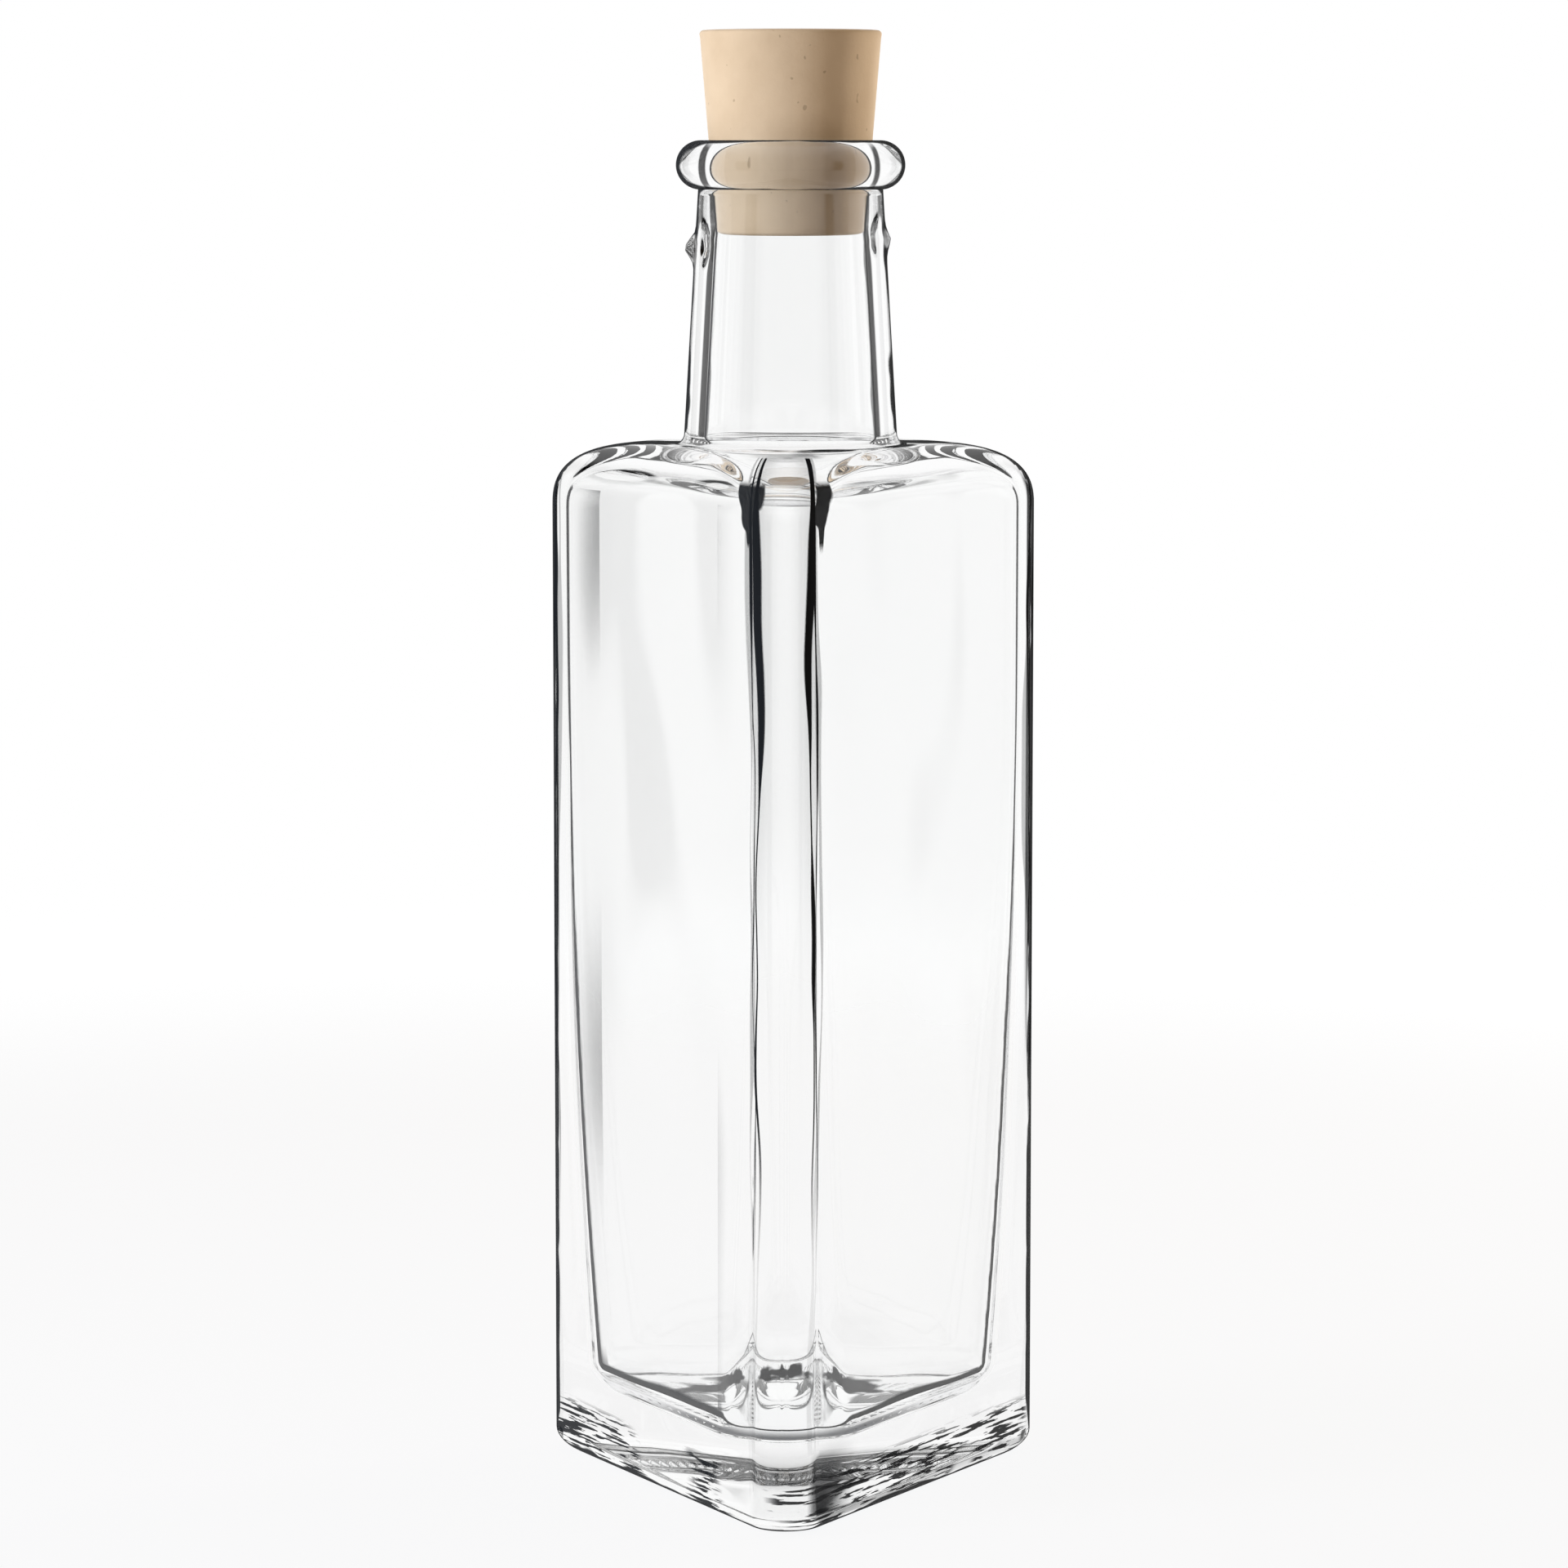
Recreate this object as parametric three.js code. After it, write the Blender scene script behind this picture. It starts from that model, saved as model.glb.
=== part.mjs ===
// A small three-sided glass bottle with a heavy base, closed by a tapered stopper.
// Millimetres, +Z up, standing on z = 0. One upright edge faces -Y and one flat face looks along +Y.
// The origin is the middle of the base's bounding box, so the neck stands a little behind it.

import * as THREE from 'three';

// Outside of the body
const faceDistance = 19.3; // from the neck's axis to each flat face
const edgeRadius = 4.4; // upright edges
const bodyHeight = 120.5; // height where the flat faces end
const heelRadius = 2.8; // rounding under the flat faces
const shoulderRise = 8.5; // from the top of the flat faces to the foot of the neck
const shoulderFullness = 2.6; // 2 is an elliptic shoulder, and more is squarer

// Underside
const rimWidth = 4; // flat bearing rim that the bottle stands on
const pushUp = 1; // hollow inside that rim

// Neck and lip
const neckHeight = 31; // from the foot of the neck to the underside of the lip
const footFillet = 1.3; // between neck and shoulder
const neckFootWall = 2.4;
const neckTopWall = 1.65;
const lipHeight = 6;
const lipOverhang = 2.7; // how far the lip stands out from the top of the neck
const lipLand = 0.35; // flat top of the lip
const mouthRounding = 0.5; // inner edge of the lip

// Inside of the bottle
const faceWall = 2.2; // flat faces, at the shoulder
const lowerFaceWall = 2.8; // flat faces, at the floor
const innerEdgeRadius = 3.2; // upright inner edges, at the shoulder
const lowerInnerEdgeRadius = 7; // upright inner edges, at the floor
const shoulderWall = 2.7;
const shoulderFillet = 2.2; // inside, where the bore opens into the shoulder
const boreFootRadius = 10.65; // bore at the foot of the neck
const baseThickness = 9.5; // glass under the edge of the floor
const floorCrown = 0.8; // how far the middle of the floor rises
const floorRadius = 3.6; // between the floor and the inner walls
const wallSwelling = 2.5; // how late the walls thicken on their way down

// Stopper
const stopperTopRadius = 11.1;
const stopperBottomRadius = 9.05;
const stopperLength = 24.9;
const stopperDepth = 11.6; // length below the top of the lip
const stopperRounding = 0.5; // both rims of the stopper
const seatClearance = 0.15; // between the stopper's side and the mouth

// Fineness of the faceted surfaces
const edgeSteps = 3; // facets on each half of an upright edge
const faceSteps = 5; // facets from an edge's end to the middle of a face
const shoulderSteps = 9;
const filletSteps = 4;
const lipSteps = 10;
const wallSteps = 7;
const crownSteps = 3;
const stopperFacets = 48;

// Heights and radii that follow from the sizes above
const neckFootHeight = bodyHeight + shoulderRise;
const lipBottom = neckFootHeight + neckHeight;
const glassHeight = lipBottom + lipHeight;
const stopperBottom = glassHeight - stopperDepth;
const stopperSlope = (stopperTopRadius - stopperBottomRadius) / stopperLength;
const axisOffset = (faceDistance - edgeRadius) / 2;

const sideCount = 3;
const sector = (2 * Math.PI) / sideCount;
const frontEdge = -Math.PI / 2;

function stopperRadiusAt(height) {
  return stopperBottomRadius + (height - stopperBottom) * stopperSlope;
}

const mouthRadius = stopperRadiusAt(glassHeight - mouthRounding) + seatClearance;
const seatFootRadius = stopperBottomRadius + seatClearance;
const neckFootRadius = boreFootRadius + neckFootWall;
const neckTopRadius = stopperRadiusAt(lipBottom) + seatClearance + neckTopWall;

// A section is a rounded triangle: flat is the distance from the axis to each side, and corner is
// the radius of its three corners. With corner equal to flat it is a circle.

function section(height, flat, corner) {
  return { height, flat, corner };
}

function circle(height, radius) {
  return section(height, radius, radius);
}

function halfWidth(flat, corner) {
  return Math.sqrt(3) * (flat - corner) + corner;
}

function flatOfWidth(width, corner) {
  return (width - corner) / Math.sqrt(3) + corner;
}

// Angle between the direction of a corner and the point where its arc meets the flat side
function cornerSpan(flat, corner) {
  return sector / 2 - Math.atan(Math.sqrt(3) * (1 - corner / flat));
}

function reach({ flat, corner }, fromCorner) {
  if (fromCorner >= cornerSpan(flat, corner)) {
    return flat / Math.cos(sector / 2 - fromCorner);
  }
  const arcCentre = 2 * (flat - corner);
  const across = arcCentre * Math.sin(fromCorner);
  return arcCentre * Math.cos(fromCorner) + Math.sqrt(corner ** 2 - across ** 2);
}

// Directions from one corner to the next, closest together on the corners' arcs
function sectorAngles() {
  const span = cornerSpan(faceDistance, edgeRadius);
  const half = [];
  for (let i = 0; i < edgeSteps; i += 1) {
    half.push((span * i) / edgeSteps);
  }
  for (let i = 0; i < faceSteps; i += 1) {
    half.push(span + ((sector / 2 - span) * i) / faceSteps);
  }
  const mirrored = half.slice(1).map((angle) => sector - angle).reverse();
  return [...half, sector / 2, ...mirrored];
}

function directions() {
  const list = [];
  for (let side = 0; side < sideCount; side += 1) {
    for (const angle of sectorAngles()) {
      const fromCorner = Math.min(angle, sector - angle);
      list.push({ angle: frontEdge + side * sector + angle, fromCorner });
    }
  }
  return list;
}

function steps(count, place) {
  return Array.from({ length: count }, (unused, i) => place((i + 1) / count));
}

function underside() {
  const rimOuter = faceDistance - heelRadius;
  const rimInner = rimOuter - rimWidth;
  const hollow = steps(crownSteps, (share) => {
    const height = (pushUp * (1 + Math.cos(Math.PI * share))) / 2;
    const flat = rimInner * share;
    return section(height, flat, flat + (edgeRadius - flat) * share);
  });
  return [...hollow, section(0, rimOuter, edgeRadius)];
}

function heel() {
  return steps(filletSteps, (share) => {
    const turn = (Math.PI / 2) * share;
    const height = heelRadius * (1 - Math.cos(turn));
    const flat = faceDistance - heelRadius * (1 - Math.sin(turn));
    return section(height, flat, edgeRadius);
  });
}

// A squared-off quarter ellipse that turns a rounded triangle into the circle of the neck's foot
function shoulder(wall, foot) {
  const wallWidth = halfWidth(wall.flat, wall.corner);
  return steps(shoulderSteps, (share) => {
    const turn = (Math.PI / 2) * share;
    const left = Math.cos(turn) ** (2 / shoulderFullness);
    const climbed = Math.sin(turn) ** (2 / shoulderFullness);
    const corner = foot.corner + (wall.corner - foot.corner) * left;
    const width = foot.flat + (wallWidth - foot.flat) * left;
    const height = wall.height + (foot.height - wall.height) * climbed;
    return section(height, flatOfWidth(width, corner), corner);
  });
}

function outerShoulder() {
  const wall = section(bodyHeight, faceDistance, edgeRadius);
  const foot = circle(neckFootHeight, neckFootRadius + footFillet);
  return [wall, ...shoulder(wall, foot)];
}

function neckFoot() {
  return steps(filletSteps, (share) => {
    const turn = (Math.PI / 2) * share;
    const height = neckFootHeight + footFillet * (1 - Math.cos(turn));
    return circle(height, neckFootRadius + footFillet * (1 - Math.sin(turn)));
  });
}

// The lip is a rolled ring: half an ellipse that starts where it leaves the neck
function lip() {
  const centreRadius = mouthRadius + mouthRounding + lipLand;
  const centreHeight = lipBottom + lipHeight / 2;
  const width = neckTopRadius + lipOverhang - centreRadius;
  const start = -Math.acos((neckTopRadius - centreRadius) / width);
  const ring = steps(lipSteps, (share) => {
    const turn = start + (Math.PI / 2 - start) * share;
    const height = centreHeight + (lipHeight / 2) * Math.sin(turn);
    return circle(height, centreRadius + width * Math.cos(turn));
  });
  const under = circle(centreHeight + (lipHeight / 2) * Math.sin(start), neckTopRadius);
  return [under, ...ring];
}

function mouth() {
  const edge = steps(filletSteps, (share) => {
    const turn = (Math.PI / 2) * share;
    const height = glassHeight - mouthRounding * (1 - Math.cos(turn));
    return circle(height, mouthRadius + mouthRounding * (1 - Math.sin(turn)));
  });
  const land = circle(glassHeight, mouthRadius + mouthRounding);
  return [land, ...edge, circle(stopperBottom, seatFootRadius)];
}

// The bore's lower end curves out under the roof of the cavity
function boreFoot() {
  const roof = neckFootHeight - shoulderWall;
  const start = circle(roof + shoulderFillet, boreFootRadius);
  const curve = steps(filletSteps, (share) => {
    const turn = (Math.PI / 2) * share;
    const height = roof + shoulderFillet * (1 - Math.sin(turn));
    return circle(height, boreFootRadius + shoulderFillet * (1 - Math.cos(turn)));
  });
  return [start, ...curve];
}

// The inner walls thicken towards the floor, and their upright edges get rounder
function cavityWall(height) {
  const floorStart = baseThickness + floorRadius;
  const depth = (bodyHeight - height) / (bodyHeight - floorStart);
  const swelling = Math.max(0, depth) ** wallSwelling;
  const wall = faceWall + (lowerFaceWall - faceWall) * swelling;
  const corner = innerEdgeRadius + (lowerInnerEdgeRadius - innerEdgeRadius) * swelling;
  return section(height, faceDistance - wall, corner);
}

function cavity() {
  const wall = cavityWall(bodyHeight);
  const roof = circle(neckFootHeight - shoulderWall, boreFootRadius + shoulderFillet);
  const ceiling = [wall, ...shoulder(wall, roof)].reverse().slice(1);
  const floorStart = baseThickness + floorRadius;
  const walls = steps(wallSteps, (share) => {
    return cavityWall(bodyHeight + (floorStart - bodyHeight) * share);
  });
  return [...ceiling, ...walls];
}

function floorOfCavity() {
  const start = cavityWall(baseThickness + floorRadius);
  const edge = steps(filletSteps, (share) => {
    const turn = (Math.PI / 2) * share;
    const height = baseThickness + floorRadius * (1 - Math.sin(turn));
    return section(height, start.flat - floorRadius * (1 - Math.cos(turn)), start.corner);
  });
  const floor = edge[edge.length - 1];
  const crown = steps(crownSteps, (share) => {
    const left = 1 - share;
    const height = baseThickness + (floorCrown * (1 - Math.cos(Math.PI * share))) / 2;
    const flat = floor.flat * left;
    return section(height, flat, flat + (floor.corner - flat) * left);
  });
  return [...edge, ...crown.slice(0, -1)];
}

// One closed skin from the middle of the underside, over the lip, to the middle of the floor
function skin(sections, firstHeight, lastHeight) {
  const around = directions();
  const count = around.length;
  const positions = [0, 0, firstHeight];
  for (const ring of sections) {
    for (const { angle, fromCorner } of around) {
      const radius = reach(ring, fromCorner);
      positions.push(radius * Math.cos(angle), radius * Math.sin(angle), ring.height);
    }
  }
  positions.push(0, 0, lastHeight);

  const last = 1 + sections.length * count;
  const triangles = [];
  for (let i = 0; i < count; i += 1) {
    const next = (i + 1) % count;
    triangles.push(0, 1 + next, 1 + i);
    for (let level = 0; level < sections.length - 1; level += 1) {
      const lower = 1 + level * count;
      const upper = lower + count;
      triangles.push(lower + i, lower + next, upper + next);
      triangles.push(lower + i, upper + next, upper + i);
    }
    triangles.push(last - count + i, last - count + next, last);
  }

  const geometry = new THREE.BufferGeometry();
  geometry.setAttribute('position', new THREE.Float32BufferAttribute(positions, 3));
  geometry.setIndex(triangles);
  geometry.computeVertexNormals();
  return geometry;
}

function bottle() {
  const sections = [
    ...underside(),
    ...heel(),
    ...outerShoulder(),
    ...neckFoot(),
    ...lip(),
    ...mouth(),
    ...boreFoot(),
    ...cavity(),
    ...floorOfCavity(),
  ];
  const material = new THREE.MeshStandardMaterial({ color: 0xf2f5f4, roughness: 0.03, metalness: 0 });
  const mesh = new THREE.Mesh(skin(sections, pushUp, baseThickness + floorCrown), material);
  mesh.name = 'bottle';
  return mesh;
}

function stopper() {
  const outline = new THREE.Path();
  const top = stopperLength;
  const lowRim = stopperBottomRadius + stopperRounding * stopperSlope;
  const highRim = stopperTopRadius - stopperRounding * stopperSlope;
  outline.moveTo(0, 0);
  outline.lineTo(stopperBottomRadius - stopperRounding, 0);
  outline.quadraticCurveTo(stopperBottomRadius, 0, lowRim, stopperRounding);
  outline.lineTo(highRim, top - stopperRounding);
  outline.quadraticCurveTo(stopperTopRadius, top, stopperTopRadius - stopperRounding, top);
  outline.lineTo(0, top);
  const geometry = new THREE.LatheGeometry(outline.getPoints(filletSteps), stopperFacets);
  geometry.rotateX(Math.PI / 2);
  const material = new THREE.MeshStandardMaterial({ color: 0xdcc6a2, roughness: 0.6, metalness: 0 });
  const mesh = new THREE.Mesh(geometry, material);
  mesh.name = 'stopper';
  mesh.position.z = stopperBottom;
  return mesh;
}

const part = new THREE.Group();
part.add(bottle(), stopper());
part.position.y = axisOffset;

export default part;
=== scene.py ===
import math

import bpy
import numpy as np
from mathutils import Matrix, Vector, noise


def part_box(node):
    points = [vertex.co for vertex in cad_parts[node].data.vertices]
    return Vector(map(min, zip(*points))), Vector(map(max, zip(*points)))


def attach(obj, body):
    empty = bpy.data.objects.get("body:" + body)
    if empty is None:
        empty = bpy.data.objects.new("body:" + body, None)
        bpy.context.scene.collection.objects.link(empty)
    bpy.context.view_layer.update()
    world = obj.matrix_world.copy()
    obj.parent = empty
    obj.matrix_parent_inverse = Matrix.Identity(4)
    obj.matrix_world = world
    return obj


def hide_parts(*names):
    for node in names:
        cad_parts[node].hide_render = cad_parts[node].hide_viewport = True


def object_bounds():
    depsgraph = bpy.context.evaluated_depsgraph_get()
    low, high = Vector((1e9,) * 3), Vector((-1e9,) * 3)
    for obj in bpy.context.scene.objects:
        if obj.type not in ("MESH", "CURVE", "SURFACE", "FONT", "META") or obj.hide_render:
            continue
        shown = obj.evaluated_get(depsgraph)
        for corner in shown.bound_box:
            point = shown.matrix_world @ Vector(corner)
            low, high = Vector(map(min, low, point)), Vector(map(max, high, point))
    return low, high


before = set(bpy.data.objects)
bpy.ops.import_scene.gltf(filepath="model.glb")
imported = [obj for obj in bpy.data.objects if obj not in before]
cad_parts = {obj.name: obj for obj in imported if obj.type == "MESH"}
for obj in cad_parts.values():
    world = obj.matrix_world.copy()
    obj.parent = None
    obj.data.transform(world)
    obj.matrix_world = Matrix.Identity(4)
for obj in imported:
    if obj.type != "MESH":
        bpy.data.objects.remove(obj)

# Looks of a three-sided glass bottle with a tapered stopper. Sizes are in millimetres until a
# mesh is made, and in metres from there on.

cad_low, cad_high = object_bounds()

MM = 0.001

# Outside of the bottle
FACE_DISTANCE = 19.3
EDGE_RADIUS = 4.4
BODY_HEIGHT = 120.5
HEEL_RADIUS = 2.8
SHOULDER_RISE = 8.5
SHOULDER_FULLNESS = 2.6
RIM_WIDTH = 4.0
PUSH_UP = 1.0
NECK_HEIGHT = 31.0
FOOT_FILLET = 1.3
NECK_FOOT_WALL = 2.4
NECK_TOP_WALL = 1.65
LIP_HEIGHT = 6.0
LIP_OVERHANG = 2.7
LIP_LAND = 0.35
MOUTH_ROUNDING = 0.5

# Inside of the bottle
FACE_WALL = 2.2
LOWER_FACE_WALL = 2.8
INNER_EDGE_RADIUS = 3.2
LOWER_INNER_EDGE_RADIUS = 7.0
SHOULDER_WALL = 2.7
SHOULDER_FILLET = 2.2
BORE_FOOT_RADIUS = 10.65
BASE_THICKNESS = 9.5
FLOOR_CROWN = 0.8
FLOOR_RADIUS = 3.6
WALL_SWELLING = 2.5

# Stopper
STOPPER_TOP_RADIUS = 11.1
STOPPER_BOTTOM_RADIUS = 9.05
STOPPER_LENGTH = 24.9
STOPPER_DEPTH = 11.6
STOPPER_ROUNDING = 0.5
SEAT_CLEARANCE = 0.15

NECK_FOOT = BODY_HEIGHT + SHOULDER_RISE
LIP_BOTTOM = NECK_FOOT + NECK_HEIGHT
GLASS_HEIGHT = LIP_BOTTOM + LIP_HEIGHT
STOPPER_BOTTOM = GLASS_HEIGHT - STOPPER_DEPTH
STOPPER_SLOPE = (STOPPER_TOP_RADIUS - STOPPER_BOTTOM_RADIUS) / STOPPER_LENGTH


def stopper_radius_at(height):
    """Radius of the stopper's cone at a height over the ground."""
    return STOPPER_BOTTOM_RADIUS + (height - STOPPER_BOTTOM) * STOPPER_SLOPE


MOUTH_RADIUS = stopper_radius_at(GLASS_HEIGHT - MOUTH_ROUNDING) + SEAT_CLEARANCE
SEAT_FOOT_RADIUS = STOPPER_BOTTOM_RADIUS + SEAT_CLEARANCE
NECK_FOOT_RADIUS = BORE_FOOT_RADIUS + NECK_FOOT_WALL
NECK_TOP_RADIUS = stopper_radius_at(LIP_BOTTOM) + SEAT_CLEARANCE + NECK_TOP_WALL

# The neck's axis runs through the middle of the stopper
stopper_low, stopper_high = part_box("stopper")
AXIS_Y = (stopper_low[1] + stopper_high[1]) / 2 / MM

SIDES = 3
SECTOR = 2 * math.pi / SIDES
FRONT_EDGE = -math.pi / 2

# Camera, with its angles in degrees
CAMERA_DISTANCE = 709.5
CAMERA_HEIGHT = 166.05
CAMERA_TURN = 1.2
CAMERA_PITCH = 6.36
CAMERA_YAW = 0.065
SENSOR_WIDTH = 36.0
LENS = 132.7

# Columns of points round the bottle, for each of its sides
COLUMNS_ON_EDGE = 28
COLUMNS_ON_FACE = 68

# Rows of points along the profile, from the middle of the underside to the middle of the cavity's floor
PUSH_UP_ROWS = 14
STANDING_ROWS = 10
HEEL_ROWS = 10
WALL_ROWS = 44
SHOULDER_ROWS = 30
FOOT_FILLET_ROWS = 8
NECK_ROWS = 39
LIP_ROWS = 32
MOUTH_ROWS = 7
SEAT_ROWS = 8
BORE_ROWS = 20
BORE_FILLET_ROWS = 9
ROOF_ROWS = 26
CAVITY_ROWS = 46
FLOOR_FILLET_ROWS = 12
FLOOR_ROWS = 11

# Surface detail
STIPPLE_DEPTH = 0.16
SEAM_HEIGHT = 0.09
PARTING_HEIGHT = 154.4
PARTING_REACH = 0.45
BEAD_RADIUS = 1.3

# Waves left by hot glass: height, spread and a number that picks the pattern
OUTSIDE_WAVES = (0.03, 22.0, 3.0)
INSIDE_WAVES = (0.22, 16.0, 11.0)
WAVE_STRETCH = 2.2
WAVE_FADE_RADIUS = 6.0

# Beads on the neck: angle, distance under the parting line and swelling
BEADS = [(math.pi, 1.5, 1.2), (0.0, 0.5, 0.5)]

# Columns and rows of the stopper
STOPPER_COLUMNS = 144
STOPPER_END_ROWS = 10
STOPPER_ROUNDING_ROWS = 6
STOPPER_SIDE_ROWS = 40

# How far each surface may turn from the eye before a painted dark outline darkens it, from 0 face on to
# 1 edge on
EDGE_LINE = 0.53
ROUND_RIM = 0.74
SHOULDER_RIM = 0.91
FILLET_RIM = 0.84
FLAT_RIM = 1.1
LIP_RIM = 0.68
HEEL_RIM = 0.72
CAVITY_FLOOR_RIM = 0.77
CAVITY_FLOOR_DARK_ROWS = 20
EDGE_MARGIN = 1.02
RIM_CHANGE = 0.16
RIM_CHANGE_SCALE = 110.0
NOISE_RANGE = (0.3, 0.7)
RIM_SOFTNESS = 0.06
RIM_DARKNESS = 0.96

# The same for a surface seen from inside the glass, where a painted dark outline darkens it just short
# of mirroring
INNER_RIM = 0.235
FLOOR_RIM = 0.195
ROOF_RIM = 0.25
ROOF_DARK_ROWS = 20
CAVITY_EDGE_RIM = 0.197
CAVITY_EDGE_END = 9.0
INNER_RIM_SOFTNESS = 0.012
TOTAL_REFLECTION = 0.2546

# Painted dark refraction lines wandering beside the upright edges: centre, wander, thin, thick, period
# and shift
BOLD_LINE = (-0.9, 1.7, 0.16, 0.50, 42.0, 0.0)
THIN_LINE = (-0.2, 1.2, 0.09, 0.26, 36.0, 57.0)
BAND = (0.2, 2.4, 0.10, 0.80, 55.0, 80.0)
BAND_DARKNESS = 0.45
LINE_DETAIL = 1.5
LINE_SOFTNESS = (0.6, 1.0)
SWELL_RANGE = (0.35, 0.7)
SWELL_PERIOD = 0.8
SWELL_SHIFT = 31.0
UPPER_LINES = (85.0, 118.0)
UPPER_LINE_GROWTH = 2.2
LINED_SHOULDER_ROWS = 22
LINES_TURN_ON = (0.06, 0.14)
LINES_RISE = (30.0, 52.0)
LINES_AT_FOOT = 0.15

# One number for each half of a side, which picks the course of its lines
HALF_SIDE_SEEDS = [3.1, 9.7, 15.2, 22.8, 31.5, 38.3]

# Soft shade over each rounded edge, by distance from the edge's end and by height
EDGE_SHADE = 0.30
EDGE_SHADE_START = (-4.4, -0.5)
EDGE_SHADE_END = (-0.2, 0.3)
EDGE_SHADE_RISE = (55.0, 112.0)

# Painted dark refraction as hooks where the front edge turns into the shoulder
HOOK_SCALE = 230.0
HOOK_DETAIL = 1.0
HOOK_CHANGE = (0.4, 1.6)
HOOK_CENTRE = 0.9
HOOK_REACH = (0.3, 2.3)
HOOK_FOOT = 117.5
HOOK_TOP = 125.4
HOOK_FADE_IN = 1.5
HOOK_FADE_OUT = 0.9
HOOK_DARKNESS = 0.98
HOOK_SOFTNESS = (0.8, 1.0)
FRONT_ENDS = (-16.0, -14.0)

# Painted dark reflections as broken streaks low in the thick base
STREAK_SCALE = 165.0
STREAK_DETAIL = 3.0
STREAK_STRETCH = 15.0
STREAK_RANGE = (0.518, 0.54)
STREAK_DARKNESS = 0.96
STREAK_GROUP_SCALE = 45.0
STREAK_GROUP_RANGE = (0.41, 0.485)
STREAK_TOP = (6.5, 8.0)

# Painted reflection of a dark floor as a patch at the foot of the front edge, by distance to its right
# and by height
PATCH_LEFT = (-4.4, -3.4)
PATCH_RIGHT = (2.4, 3.6)
PATCH_FADE = (4.5, 9.0)
PATCH_TOP = (7.0, 11.5)
PATCH_FOOT = (1.8, 3.0)
PATCH_EDGE_FOOT = (5.5, 7.5)
PATCH_EDGE_DARKNESS = (0.1, 0.5)
PATCH_DARKNESS = 0.86

# Glass
GLASS_INDEX = 1.5
# Black of the painted dark refraction, outlines and shade on the glass
PAINTED_DARK_COLOUR = (0.012, 0.013, 0.014, 1)
TINT_SCALE = 60.0
TINT_COLOUR = (0.975, 0.98, 0.978, 1)
SHADOW_COLOUR = (0.93, 0.94, 0.94, 1)
WHITE = (1.0, 1.0, 1.0, 1)

# Stopper's surface
STOPPER_ROUGHNESS = 0.55
STOPPER_DARK_TONE = (0.64, 0.47, 0.29, 1)
STOPPER_PALE_TONE = (0.73, 0.55, 0.35, 1)
CLOUD_SCALE = 140.0
CLOUD_DETAIL = 4.0
CLOUD_RANGE = (0.3, 0.7)
SPECK_COLOUR = (0.20, 0.11, 0.05, 1)
SPECK_SCALE = 1300.0
SPECK_RANGE = (0.81, 0.86)
SPECK_DARKNESS = 0.4
GRAIN_SCALE = 1600.0
GRAIN_STRENGTH = 0.25
GRAIN_DEPTH = 0.0001

# Light, in metres and watts
AMBIENT = (0.18, 0.115, 0.055, 1)
LAMP_TARGET = (0, 0, 0.15)
KEY_PLACE = (-0.85, -0.38, 0.4)
KEY_SIZE = (0.3, 0.6)
KEY_POWER = 10.8
KEY_COLOUR = (0.88, 0.98, 1.18)
RIM_PLACE = (0.6, 0.42, 0.25)
RIM_SIZE = (0.12, 0.6)
RIM_POWER = 5.0
RIM_COLOUR = (1.0, 0.97, 0.95)

# Tones that the glass shows from round the bottle: position from left to right, and tone
STUDIO_RAMP = [
    (0.342, 1.0), (0.347, 0.0), (0.384, 0.0), (0.389, 1.0),
    (0.62, 1.0), (0.628, 0.0), (0.65, 0.0), (0.66, 1.0),
]
STUDIO_BACK = 0.3
OVERHEAD_RISE = (0.2, 0.35)
OVERHEAD_TONE = 0.95
MOST_BENDS = 3.5

# Floor, in metres
FLOOR_SIZE = 0.7
FLOOR_GAP = 0.00002
FLOOR_COLOUR = (0.9, 0.9, 0.9, 1)
FLOOR_GLOW = 0.85
MIRRORED_FLOOR = 1.0
# Painted shadow on the middle of the floor, as mirrored inside the glass: its tone and its reach
PAINTED_FLOOR_SHADOW = 0.03
PAINTED_FLOOR_SHADOW_RANGE = (0.010, 0.024)
FLOOR_FADE = (0.25, 0.6)


def make_camera():
    """Places the camera at the photograph's viewpoint, level with the lip and looking down a little."""
    turn = math.radians(CAMERA_TURN)
    pitch = math.radians(CAMERA_PITCH)
    yaw = math.radians(CAMERA_YAW)
    data = bpy.data.cameras.new("camera")
    data.sensor_width = SENSOR_WIDTH
    data.lens = LENS
    camera = bpy.data.objects.new("camera", data)
    bpy.context.scene.collection.objects.link(camera)
    x = CAMERA_DISTANCE * math.sin(turn)
    y = AXIS_Y - CAMERA_DISTANCE * math.cos(turn)
    camera.location = Vector((x, y, CAMERA_HEIGHT)) * MM
    camera.rotation_euler = (math.pi / 2 - pitch, 0, turn + yaw)
    bpy.context.scene.camera = camera


def section(height, flat, corner):
    """One ring: a triangle with rounded corners, by its face distance and its corner radius."""
    return height, flat, corner


def circle(height, radius):
    """A ring whose corners have grown until it is round."""
    return height, radius, radius


def steps(count):
    """Even shares of a length, from the first step to 1."""
    return [(i + 1) / count for i in range(count)]


def half_width(flat, corner):
    """Half the breadth of a rounded triangle along one of its faces."""
    return math.sqrt(3) * (flat - corner) + corner


def flat_of_width(width, corner):
    """Face distance of a rounded triangle that has that half breadth."""
    return (width - corner) / math.sqrt(3) + corner


def underside():
    """Rings of the push-up and the standing ring, from the middle outward."""
    rim_outer = FACE_DISTANCE - HEEL_RADIUS
    rim_inner = rim_outer - RIM_WIDTH
    rings = []
    for share in steps(PUSH_UP_ROWS):
        height = PUSH_UP * (1 + math.cos(math.pi * share)) / 2
        flat = rim_inner * share
        rings.append(section(height, flat, flat + (EDGE_RADIUS - flat) * share))
    for share in steps(STANDING_ROWS):
        rings.append(section(0, rim_inner + RIM_WIDTH * share, EDGE_RADIUS))
    return rings


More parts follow.
